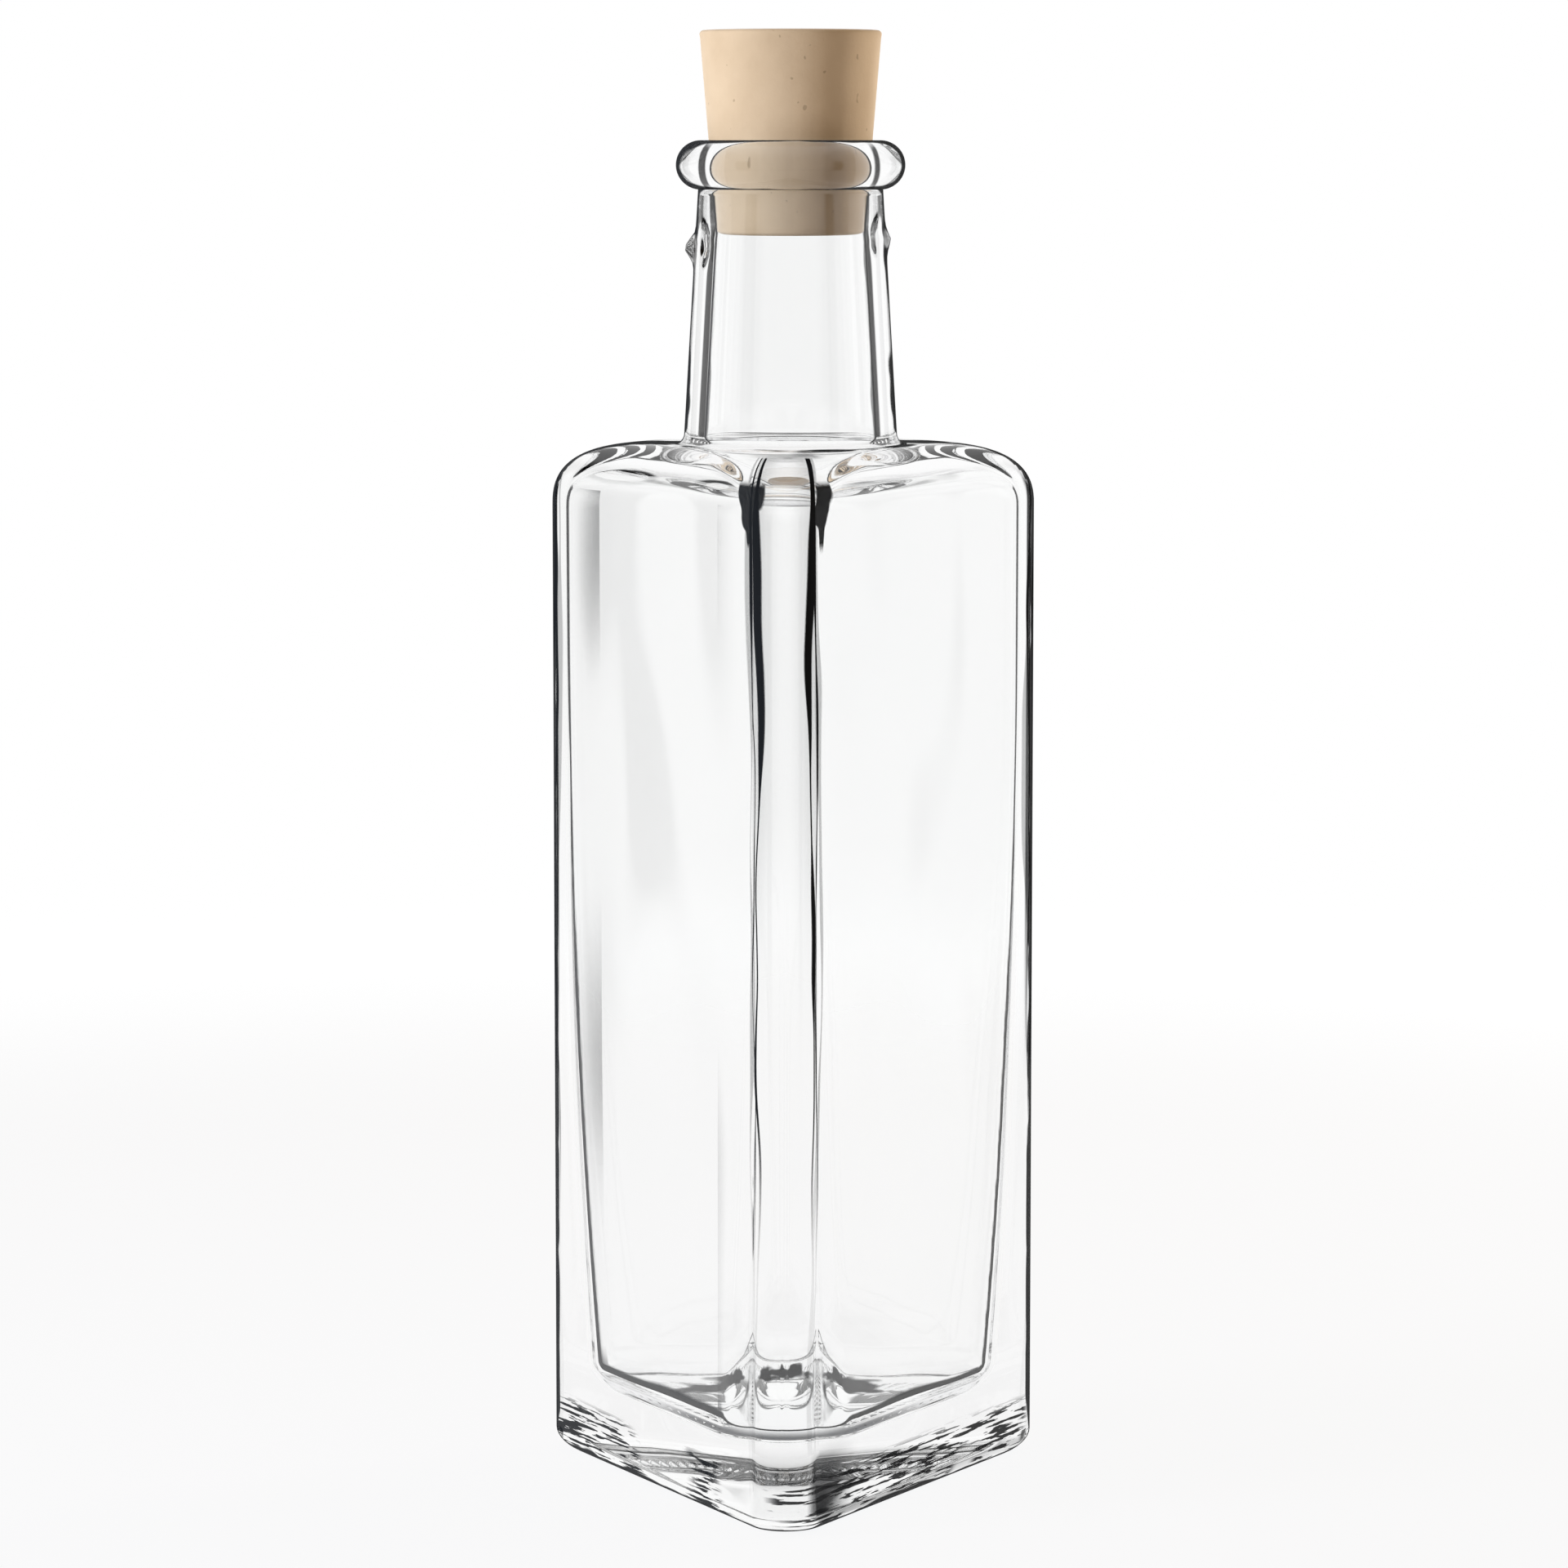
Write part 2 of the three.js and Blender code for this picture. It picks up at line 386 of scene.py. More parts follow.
def heel():
    """Rings of the rounding between the standing ring and the wall."""
    rings = []
    for share in steps(HEEL_ROWS):
        turn = math.pi / 2 * share
        flat = FACE_DISTANCE - HEEL_RADIUS * (1 - math.sin(turn))
        rings.append(section(HEEL_RADIUS * (1 - math.cos(turn)), flat, EDGE_RADIUS))
    return rings


def shoulder(wall, foot, count):
    """Rings from the top of a wall to a round foot, fuller than an arc."""
    wall_width = half_width(wall[1], wall[2])
    rings = []
    for share in steps(count):
        turn = math.pi / 2 * share
        left = math.cos(turn) ** (2 / SHOULDER_FULLNESS)
        climbed = math.sin(turn) ** (2 / SHOULDER_FULLNESS)
        corner = foot[2] + (wall[2] - foot[2]) * left
        width = foot[1] + (wall_width - foot[1]) * left
        height = wall[0] + (foot[0] - wall[0]) * climbed
        rings.append(section(height, flat_of_width(width, corner), corner))
    return rings


def outer_walls():
    """Rings of the upright wall and of the shoulder over it."""
    rings = []
    for share in steps(WALL_ROWS):
        height = HEEL_RADIUS + (BODY_HEIGHT - HEEL_RADIUS) * share
        rings.append(section(height, FACE_DISTANCE, EDGE_RADIUS))
    wall = rings[-1]
    foot = circle(NECK_FOOT, NECK_FOOT_RADIUS + FOOT_FILLET)
    return rings + shoulder(wall, foot, SHOULDER_ROWS)


def neck():
    """Rings of the fillet at the neck's foot and of its tapering side."""
    rings = []
    for share in steps(FOOT_FILLET_ROWS):
        turn = math.pi / 2 * share
        height = NECK_FOOT + FOOT_FILLET * (1 - math.cos(turn))
        rings.append(circle(height, NECK_FOOT_RADIUS + FOOT_FILLET * (1 - math.sin(turn))))
    low = NECK_FOOT + FOOT_FILLET
    for share in steps(NECK_ROWS + 1)[:-1]:
        height = low + (LIP_BOTTOM - low) * share
        rings.append(circle(height, NECK_FOOT_RADIUS + (NECK_TOP_RADIUS - NECK_FOOT_RADIUS) * share))
    return rings


def lip_and_mouth():
    """Rings over the rolled lip and into the rounded mouth."""
    centre_radius = MOUTH_RADIUS + MOUTH_ROUNDING + LIP_LAND
    centre_height = LIP_BOTTOM + LIP_HEIGHT / 2
    width = NECK_TOP_RADIUS + LIP_OVERHANG - centre_radius
    start = -math.acos((NECK_TOP_RADIUS - centre_radius) / width)
    rings = [circle(centre_height + LIP_HEIGHT / 2 * math.sin(start), NECK_TOP_RADIUS)]
    for share in steps(LIP_ROWS):
        turn = start + (math.pi / 2 - start) * share
        height = centre_height + LIP_HEIGHT / 2 * math.sin(turn)
        rings.append(circle(height, centre_radius + width * math.cos(turn)))
    rings.append(circle(GLASS_HEIGHT, MOUTH_RADIUS + MOUTH_ROUNDING))
    for share in steps(MOUTH_ROWS):
        turn = math.pi / 2 * share
        height = GLASS_HEIGHT - MOUTH_ROUNDING * (1 - math.cos(turn))
        rings.append(circle(height, MOUTH_RADIUS + MOUTH_ROUNDING * (1 - math.sin(turn))))
    return rings


def bore():
    """Rings down the stopper's seat and the bore, and out under the shoulder."""
    high = GLASS_HEIGHT - MOUTH_ROUNDING
    roof = NECK_FOOT - SHOULDER_WALL
    low = roof + SHOULDER_FILLET
    rings = []
    for share in steps(SEAT_ROWS):
        height = high + (STOPPER_BOTTOM - high) * share
        rings.append(circle(height, MOUTH_RADIUS + (SEAT_FOOT_RADIUS - MOUTH_RADIUS) * share))
    for share in steps(BORE_ROWS):
        height = STOPPER_BOTTOM + (low - STOPPER_BOTTOM) * share
        rings.append(circle(height, SEAT_FOOT_RADIUS + (BORE_FOOT_RADIUS - SEAT_FOOT_RADIUS) * share))
    for share in steps(BORE_FILLET_ROWS):
        turn = math.pi / 2 * share
        height = roof + SHOULDER_FILLET * (1 - math.sin(turn))
        rings.append(circle(height, BORE_FOOT_RADIUS + SHOULDER_FILLET * (1 - math.cos(turn))))
    return rings


def cavity_wall(height):
    """The cavity's ring at a height: lower down, the wall is thicker and the edges rounder."""
    floor_start = BASE_THICKNESS + FLOOR_RADIUS
    depth = (BODY_HEIGHT - height) / (BODY_HEIGHT - floor_start)
    swelling = max(0.0, depth) ** WALL_SWELLING
    wall = FACE_WALL + (LOWER_FACE_WALL - FACE_WALL) * swelling
    corner = INNER_EDGE_RADIUS + (LOWER_INNER_EDGE_RADIUS - INNER_EDGE_RADIUS) * swelling
    return section(height, FACE_DISTANCE - wall, corner)


def cavity():
    """Rings from under the shoulder, down the wall and over the crowned floor."""
    wall = cavity_wall(BODY_HEIGHT)
    roof = circle(NECK_FOOT - SHOULDER_WALL, BORE_FOOT_RADIUS + SHOULDER_FILLET)
    rings = ([wall] + shoulder(wall, roof, ROOF_ROWS))[::-1][1:]
    floor_start = BASE_THICKNESS + FLOOR_RADIUS
    for share in steps(CAVITY_ROWS):
        rings.append(cavity_wall(BODY_HEIGHT + (floor_start - BODY_HEIGHT) * share))
    start = rings[-1]
    for share in steps(FLOOR_FILLET_ROWS):
        turn = math.pi / 2 * share
        height = BASE_THICKNESS + FLOOR_RADIUS * (1 - math.sin(turn))
        rings.append(section(height, start[1] - FLOOR_RADIUS * (1 - math.cos(turn)), start[2]))
    floor = rings[-1]
    for share in steps(FLOOR_ROWS + 1)[:-1]:
        left = 1 - share
        height = BASE_THICKNESS + FLOOR_CROWN * (1 - math.cos(math.pi * share)) / 2
        flat = floor[1] * left
        rings.append(section(height, flat, flat + (floor[2] - flat) * left))
    return rings


def corner_span(flat, corner):
    """Angle from the middle of a corner to the end of its arc, seen from the axis."""
    return SECTOR / 2 - math.atan(math.sqrt(3) * (1 - corner / flat))


def column_angles():
    """Angles round the neck's axis, evenly spaced along the outer wall's arcs and flats."""
    centre = 2 * (FACE_DISTANCE - EDGE_RADIUS)
    half_face = math.sqrt(3) * (FACE_DISTANCE - EDGE_RADIUS)
    half = []
    for i in range(COLUMNS_ON_EDGE // 2):
        turn = SECTOR / 2 * i / (COLUMNS_ON_EDGE // 2)
        half.append(math.atan2(EDGE_RADIUS * math.sin(turn), centre + EDGE_RADIUS * math.cos(turn)))
    for i in range(COLUMNS_ON_FACE // 2):
        along = half_face * (1 - i / (COLUMNS_ON_FACE // 2))
        half.append(SECTOR / 2 - math.atan(along / FACE_DISTANCE))
    sector = half + [SECTOR / 2] + [SECTOR - a for a in half[:0:-1]]
    angles = [FRONT_EDGE + side * SECTOR + a for side in range(SIDES) for a in sector]
    return np.array(angles)


def angle_from_corner(angles):
    """Angle between each column and the middle of the nearest corner."""
    return np.abs((angles - FRONT_EDGE + SECTOR / 2) % SECTOR - SECTOR / 2)


def reach(angles, flat, corner):
    """Distance from the axis to a rounded triangle, for each angle."""
    from_corner = angle_from_corner(angles)
    on_flat = flat / np.cos(SECTOR / 2 - from_corner)
    centre = 2 * (flat - corner)
    across = centre * np.sin(from_corner)
    on_arc = centre * np.cos(from_corner) + np.sqrt(np.maximum(corner ** 2 - across ** 2, 0))
    return np.where(from_corner >= corner_span(flat, corner), on_flat, on_arc)


def loft(rings, low, high):
    """Points and faces of a closed skin through the rings, from the point at low to the one at high."""
    angles = column_angles()
    count = len(angles)
    points = [np.array([[0.0, 0.0, low]])]
    for height, flat, corner in rings:
        radius = reach(angles, flat, corner)
        ring = np.stack([radius * np.cos(angles), radius * np.sin(angles), np.full(count, height)], 1)
        points.append(ring)
    points.append(np.array([[0.0, 0.0, high]]))
    here = np.arange(count)
    there = (here + 1) % count
    faces = [[0, 1 + int(b), 1 + int(a)] for a, b in zip(here, there)]
    for level in range(len(rings) - 1):
        lower = 1 + level * count
        upper = lower + count
        quads = np.stack([lower + here, lower + there, upper + there, upper + here], 1)
        faces.extend(quads.tolist())
    last = 1 + len(rings) * count
    faces.extend([last - count + int(a), last - count + int(b), last] for a, b in zip(here, there))
    return np.concatenate(points), faces


def add_waves(points, first, last, waves):
    """Moves the points between two rows in or out a little, as hot glass settles in a mould."""
    amount, spread, seed = waves
    for i in range(first, last):
        x, y, z = points[i]
        radius = math.hypot(x, y)
        fade = min(1.0, radius / WAVE_FADE_RADIUS)
        place = Vector((x / spread, y / spread, z / (WAVE_STRETCH * spread) + seed))
        push = amount * fade * noise.noise(place)
        points[i, 0] += push * x / max(radius, 1e-6)
        points[i, 1] += push * y / max(radius, 1e-6)


def add_stipple(points, count):
    """Presses a row of small notches into the ring that the bottle stands on."""
    first = 1 + PUSH_UP_ROWS * count
    for row in range(STANDING_ROWS):
        depth = STIPPLE_DEPTH * math.sin(math.pi * (row + 1) / (STANDING_ROWS + 1))
        for column in range(count):
            if (column // 2) % 2:
                points[first + row * count + column, 2] += depth


def add_seams(points, count, walls, neck_start):
    """Marks the parting lines of the mould: one sunk up each edge and one raised round the neck."""
    for side in range(SIDES):
        column = side * count // SIDES
        for row in range(WALL_ROWS):
            i = walls + row * count + column
            reach_now = math.hypot(points[i, 0], points[i, 1])
            points[i, :2] *= 1 - SEAM_HEIGHT / reach_now
    for row in range(neck_start, len(points) - count, count):
        if abs(points[row, 2] - PARTING_HEIGHT) < PARTING_REACH:
            points[row:row + count, :2] *= 1 + SEAM_HEIGHT / NECK_TOP_RADIUS
            return


def add_bead(points, first, angle, height, swelling):
    """Raises a small bead of glass on the neck, where the parts of the mould met."""
    for i in range(first, first + (FOOT_FILLET_ROWS + NECK_ROWS) * len(column_angles())):
        x, y, z = points[i]
        turn = (math.atan2(y, x) - angle + math.pi) % (2 * math.pi) - math.pi
        off = math.hypot(turn * NECK_TOP_RADIUS, z - height) / BEAD_RADIUS
        grown = 1 + swelling * math.exp(-off * off) / NECK_TOP_RADIUS
        points[i, 0] *= grown
        points[i, 1] *= grown


def new_object(name, points, faces):
    """A smooth mesh in metres from points in millimetres round the neck's axis."""
    mesh = bpy.data.meshes.new(name)
    moved = np.array(points, dtype=float)
    moved[:, 1] += AXIS_Y
    mesh.from_pydata((moved * MM).tolist(), [], faces)
    mesh.update()
    for polygon in mesh.polygons:
        polygon.use_smooth = True
    piece = bpy.data.objects.new(name, mesh)
    bpy.context.scene.collection.objects.link(piece)
    return piece


def rim_starts(rings, arc_start, flat_start, round_start, angles):
    """How far a surface may turn from the eye before its edge darkens, for each point of some rings."""
    from_corner = angle_from_corner(angles)
    starts = []
    for height, flat, corner in rings:
        roundness = min(1.0, max(0.0, (corner - EDGE_RADIUS) / (BORE_FOOT_RADIUS - EDGE_RADIUS)))
        arc = arc_start + (round_start - arc_start) * roundness
        side = flat_start + (round_start - flat_start) * roundness
        span = corner_span(flat, corner) if flat > corner else 0.0
        starts.append(np.where(from_corner <= span * EDGE_MARGIN, arc, side))
    return starts


def columns_across():
    """Millimetres along the outer wall from the end of the nearest rounded edge, for each column."""
    arc_step = SECTOR / 2 * EDGE_RADIUS / (COLUMNS_ON_EDGE // 2)
    face_step = math.sqrt(3) * (FACE_DISTANCE - EDGE_RADIUS) / (COLUMNS_ON_FACE // 2)
    on_arc = [(i - COLUMNS_ON_EDGE // 2) * arc_step for i in range(COLUMNS_ON_EDGE // 2)]
    on_face = [i * face_step for i in range(COLUMNS_ON_FACE // 2)]
    half = on_arc + on_face
    sector = half + [COLUMNS_ON_FACE // 2 * face_step] + half[:0:-1]
    return np.array(sector * SIDES)


def store(piece, name, levels, ends):
    """Keeps one value for each point: one row for each level, and one value for both end points."""
    layer = piece.data.attributes.new(name, "FLOAT", "POINT")
    layer.data.foreach_set("value", np.concatenate([[ends], levels.ravel(), [ends]]))


def outer_thresholds(count):
    """Turn from the eye at which each point darkens when it is met from the air."""
    starts = [np.full(count, HEEL_RIM)] * len(underside() + heel())
    starts += rim_starts(outer_walls(), EDGE_LINE, FLAT_RIM, SHOULDER_RIM, column_angles())
    starts += [np.full(count, FILLET_RIM)] * FOOT_FILLET_ROWS
    starts += [np.full(count, ROUND_RIM)] * NECK_ROWS
    starts += [np.full(count, LIP_RIM)] * len(lip_and_mouth())
    starts += [np.full(count, ROUND_RIM)] * len(bore())
    starts += [np.full(count, FLAT_RIM)] * (len(cavity()) - CAVITY_FLOOR_DARK_ROWS)
    starts += [np.full(count, CAVITY_FLOOR_RIM)] * CAVITY_FLOOR_DARK_ROWS
    return np.stack(starts)


def inner_thresholds(levels, roof, across):
    """The same for a point met from inside the glass; roof is the first level of the cavity."""
    starts = np.full((levels, len(across)), INNER_RIM)
    roof_end = roof + ROOF_DARK_ROWS
    wall_end = roof + ROOF_ROWS + CAVITY_ROWS - 1
    starts[wall_end:wall_end + FLOOR_FILLET_ROWS] = FLOOR_RIM
    starts[roof - BORE_FILLET_ROWS:roof_end] = ROOF_RIM
    starts[roof_end:wall_end, across < CAVITY_EDGE_END] = CAVITY_EDGE_RIM
    return starts


def make_bottle():
    """The glass with its mould marks and the values that its material reads."""
    outside = underside() + heel() + outer_walls() + neck() + lip_and_mouth()
    inside = bore() + cavity()
    points, faces = loft(outside + inside, PUSH_UP, BASE_THICKNESS + FLOOR_CROWN)
    across = columns_across()
    count = len(across)
    levels = len(outside) + len(inside)
    walls = len(underside()) + len(heel())
    walls_start = 1 + walls * count
    walls_end = walls_start + WALL_ROWS * count
    neck_start = walls_end + SHOULDER_ROWS * count
    roof = len(outside) + len(bore())
    add_waves(points, walls_start, walls_end, OUTSIDE_WAVES)
    add_waves(points, 1 + roof * count, len(points) - 1, INSIDE_WAVES)
    add_stipple(points, count)
    add_seams(points, count, walls_start, neck_start)
    for angle, drop, swelling in BEADS:
        add_bead(points, neck_start, angle, PARTING_HEIGHT - drop, swelling)
    piece = new_object("bottle_glass", points, faces)
    seeds = np.repeat(HALF_SIDE_SEEDS, count // len(HALF_SIDE_SEEDS))
    lined = np.zeros((levels, count))
    lined[walls:walls + WALL_ROWS + LINED_SHOULDER_ROWS] = 1.0
    store(piece, "rim_start", outer_thresholds(count), ROUND_RIM)
    store(piece, "inner_start", inner_thresholds(levels, roof, across), INNER_RIM)
    store(piece, "across", np.tile(across, (levels, 1)), 0.0)
    store(piece, "seed", np.tile(seeds, (levels, 1)), 0.0)
    store(piece, "lined", lined, 0.0)
    return piece


def math_node(nodes, links, operation, first, second):
    """One sum or comparison; first and second are sockets or plain numbers."""
    node = nodes.new("ShaderNodeMath")
    node.operation = operation
    for socket, value in zip(node.inputs, (first, second)):
        if isinstance(value, (int, float)):
            socket.default_value = value
        else:
            links.new(value, socket)
    return node.outputs["Value"]


def product(nodes, links, *factors):
    """All factors multiplied; the first one is a socket."""
    result = factors[0]
    for factor in factors[1:]:
        result = math_node(nodes, links, "MULTIPLY", result, factor)
    return result


def darkest(nodes, links, *tones):
    """The highest of some darkness values."""
    result = tones[0]
    for tone in tones[1:]:
        result = math_node(nodes, links, "MAXIMUM", result, tone)
    return result


def mix_value(nodes, links, factor, first, second):
    """The first value where the factor is 0 and the second where it is 1."""
    node = nodes.new("ShaderNodeMix")
    node.data_type = "FLOAT"
    for name, value in (("Factor", factor), ("A", first), ("B", second)):
        if isinstance(value, (int, float)):
            node.inputs[name].default_value = value
        else:
            links.new(value, node.inputs[name])
    return node.outputs["Result"]


def mix_shader(nodes, links, factor, first, second):
    node = nodes.new("ShaderNodeMixShader")
    for socket, source in zip(node.inputs, (factor, first, second)):
        links.new(source, socket)
    return node.outputs["Shader"]


def noise_texture(nodes, links, place, scale, detail=2.0):
    """Smooth noise between 0 and 1 at a place."""
    node = nodes.new("ShaderNodeTexNoise")
    node.inputs["Scale"].default_value = scale
    node.inputs["Detail"].default_value = detail
    links.new(place, node.inputs["Vector"])
    return node.outputs["Fac"]


def smooth_range(nodes, links, value, source, low, high):
    """Goes smoothly from low to high while the value passes through the source range."""
    node = nodes.new("ShaderNodeMapRange")
    node.interpolation_type = "SMOOTHSTEP"
    links.new(value, node.inputs["Value"])
    node.inputs["From Min"].default_value, node.inputs["From Max"].default_value = source
    node.inputs["To Min"].default_value = low
    node.inputs["To Max"].default_value = high
    return node.outputs["Result"]


def attribute(nodes, name):
    node = nodes.new("ShaderNodeAttribute")
    node.attribute_name = name
    return node.outputs["Fac"]


def line_noise(nodes, links, height, seed, period, shift):
    """Smooth noise between 0 and 1 that changes along the height only."""
    place = math_node(nodes, links, "DIVIDE", height, period)
    place = math_node(nodes, links, "ADD", place, seed)
    place = math_node(nodes, links, "ADD", place, shift)
    node = nodes.new("ShaderNodeTexNoise")
    node.noise_dimensions = "1D"
    node.inputs["Scale"].default_value = 1.0
    node.inputs["Detail"].default_value = LINE_DETAIL
    links.new(place, node.inputs["W"])
    return node.outputs["Fac"]


def painted_line(nodes, links, across, height, seed, shape):
    """Darkness of one painted refraction line wandering beside an upright edge; shift sets it apart
    from the others.
    """
    centre, wander, thin, thick, period, shift = shape
    stray = line_noise(nodes, links, height, seed, period, shift)
    stray = math_node(nodes, links, "MULTIPLY_ADD", stray, 2 * wander)
    stray.node.inputs[2].default_value = centre - wander
    away = math_node(nodes, links, "SUBTRACT", across, stray)
    away = math_node(nodes, links, "ABSOLUTE", away, 0.0)
    swell = line_noise(nodes, links, height, seed, period * SWELL_PERIOD, shift + SWELL_SHIFT)
    swell = smooth_range(nodes, links, swell, SWELL_RANGE, thin, thick)
    upper = smooth_range(nodes, links, height, UPPER_LINES, 1.0, UPPER_LINE_GROWTH)
    swell = math_node(nodes, links, "MULTIPLY", swell, upper)
    near = math_node(nodes, links, "DIVIDE", away, swell)
    return smooth_range(nodes, links, near, LINE_SOFTNESS, 1.0, 0.0)


def painted_edge_lines(nodes, links, across, height, turned):
    """Painted refraction lines and a painted soft shade beside the upright edges of the walls."""
    seed = attribute(nodes, "seed")
    bold = painted_line(nodes, links, across, height, seed, BOLD_LINE)
    thin = painted_line(nodes, links, across, height, seed, THIN_LINE)
    band = painted_line(nodes, links, across, height, seed, BAND)
    band = math_node(nodes, links, "MULTIPLY", band, BAND_DARKNESS)
    oblique = smooth_range(nodes, links, turned, LINES_TURN_ON, 0.0, 1.0)
    risen = smooth_range(nodes, links, height, LINES_RISE, LINES_AT_FOOT, 1.0)
    lines = product(nodes, links, darkest(nodes, links, bold, thin, band), oblique, risen)
    on_edge = smooth_range(nodes, links, across, EDGE_SHADE_START, 0.0, EDGE_SHADE)
    off_face = smooth_range(nodes, links, across, EDGE_SHADE_END, 1.0, 0.0)
    upper = smooth_range(nodes, links, height, EDGE_SHADE_RISE, 0.0, 1.0)
    shade = product(nodes, links, on_edge, off_face, upper)
    return product(nodes, links, darkest(nodes, links, lines, shade), attribute(nodes, "lined"))


def painted_edge_hooks(nodes, links, place, across, height, front):
    """Painted dark refraction as hooks on both sides of the front edge, where it turns over into the
    shoulder.
    """
    cloud = noise_texture(nodes, links, place, HOOK_SCALE, HOOK_DETAIL)
    change = smooth_range(nodes, links, cloud, NOISE_RANGE, *HOOK_CHANGE)
    width = smooth_range(nodes, links, height, (HOOK_FOOT, HOOK_TOP), *HOOK_REACH)
    width = math_node(nodes, links, "MULTIPLY", width, change)
    beside = math_node(nodes, links, "SUBTRACT", across, HOOK_CENTRE)
    beside = math_node(nodes, links, "ABSOLUTE", beside, 0.0)
    beside = math_node(nodes, links, "DIVIDE", beside, width)
    shape = smooth_range(nodes, links, beside, HOOK_SOFTNESS, HOOK_DARKNESS, 0.0)
    above = smooth_range(nodes, links, height, (HOOK_FOOT, HOOK_FOOT + HOOK_FADE_IN), 0.0, 1.0)
    below = smooth_range(nodes, links, height, (HOOK_TOP, HOOK_TOP + HOOK_FADE_OUT), 1.0, 0.0)
    return product(nodes, links, shape, above, below, front)


def painted_base_reflections(nodes, links, place, height):
    """Painted dark reflections as broken level streaks low on the outside, where the thick base gathers
    them.
    """
    stretch = nodes.new("ShaderNodeMapping")
    stretch.inputs["Scale"].default_value = (1.0, 1.0, STREAK_STRETCH)
    links.new(place, stretch.inputs["Vector"])
    fine = noise_texture(nodes, links, stretch.outputs["Vector"], STREAK_SCALE, STREAK_DETAIL)
    broad = noise_texture(nodes, links, place, STREAK_GROUP_SCALE)
    streak = smooth_range(nodes, links, fine, STREAK_RANGE, 0.0, STREAK_DARKNESS)
    group = smooth_range(nodes, links, broad, STREAK_GROUP_RANGE, 0.0, 1.0)
    low = smooth_range(nodes, links, height, STREAK_TOP, 1.0, 0.0)
    return product(nodes, links, streak, group, low)


def painted_corner_reflection(nodes, links, sideways, height, front):
    """Soft painted reflection of a dark floor, as a patch low on the front edge and on its right, where
    the base mirrors it.
    """
    on_edge = smooth_range(nodes, links, height, PATCH_EDGE_FOOT, *PATCH_EDGE_DARKNESS)
    left = smooth_range(nodes, links, sideways, PATCH_LEFT, 0.0, 1.0)
    tone = math_node(nodes, links, "MULTIPLY", on_edge, left)
    beside = smooth_range(nodes, links, sideways, PATCH_RIGHT, 0.0, PATCH_DARKNESS)
    tone = darkest(nodes, links, tone, beside)
    fade = smooth_range(nodes, links, sideways, PATCH_FADE, 1.0, 0.0)
    top = smooth_range(nodes, links, height, PATCH_TOP, 1.0, 0.0)
    foot = smooth_range(nodes, links, height, PATCH_FOOT, 0.0, 1.0)
    return product(nodes, links, tone, fade, top, foot, front)


def outer_rim(nodes, links, place, turned):
    """Painted dark outline of the glass where its outside turns away from the eye."""
    past = math_node(nodes, links, "SUBTRACT", turned, attribute(nodes, "rim_start"))
    ripple = noise_texture(nodes, links, place, RIM_CHANGE_SCALE)
    change = smooth_range(nodes, links, ripple, NOISE_RANGE, -RIM_CHANGE / 2, RIM_CHANGE / 2)
    past = math_node(nodes, links, "ADD", past, change)
    return smooth_range(nodes, links, past, (0.0, RIM_SOFTNESS), 0.0, RIM_DARKNESS)


def inner_rim(nodes, links, turned):
    """Painted darkness of a surface met from inside the glass, short of where it becomes a mirror."""
    past = math_node(nodes, links, "SUBTRACT", turned, attribute(nodes, "inner_start"))
    rim = smooth_range(nodes, links, past, (0.0, INNER_RIM_SOFTNESS), 0.0, RIM_DARKNESS)
    refracted = math_node(nodes, links, "LESS_THAN", turned, TOTAL_REFLECTION)
    return math_node(nodes, links, "MULTIPLY", rim, refracted)


def glass_darkness(nodes, links, place):
    """How dark the painted refraction, outlines and shade make the glass at each point, from 0 clear to
    1 black.
    """
    facing = nodes.new("ShaderNodeLayerWeight")
    facing.inputs["Blend"].default_value = 0.5
    turned = facing.outputs["Facing"]
    split = nodes.new("ShaderNodeSeparateXYZ")
    links.new(place, split.inputs["Vector"])
    height = math_node(nodes, links, "DIVIDE", split.outputs["Z"], MM)
    depth = math_node(nodes, links, "DIVIDE", split.outputs["Y"], MM)
    sideways = math_node(nodes, links, "DIVIDE", split.outputs["X"], MM)
    front = smooth_range(nodes, links, depth, FRONT_ENDS, 1.0, 0.0)
    across = attribute(nodes, "across")
    # painted dark refraction lines, outlines, hooks, reflections and shade on the glass
    marks = darkest(
        nodes, links,
        painted_edge_lines(nodes, links, across, height, turned),
        outer_rim(nodes, links, place, turned),
        painted_edge_hooks(nodes, links, place, across, height, front),
        painted_base_reflections(nodes, links, place, height),
        painted_corner_reflection(nodes, links, sideways, height, front),
    )
    geometry = nodes.new("ShaderNodeNewGeometry")
    from_inside = geometry.outputs["Backfacing"]
    return mix_value(nodes, links, from_inside, marks, inner_rim(nodes, links, turned))


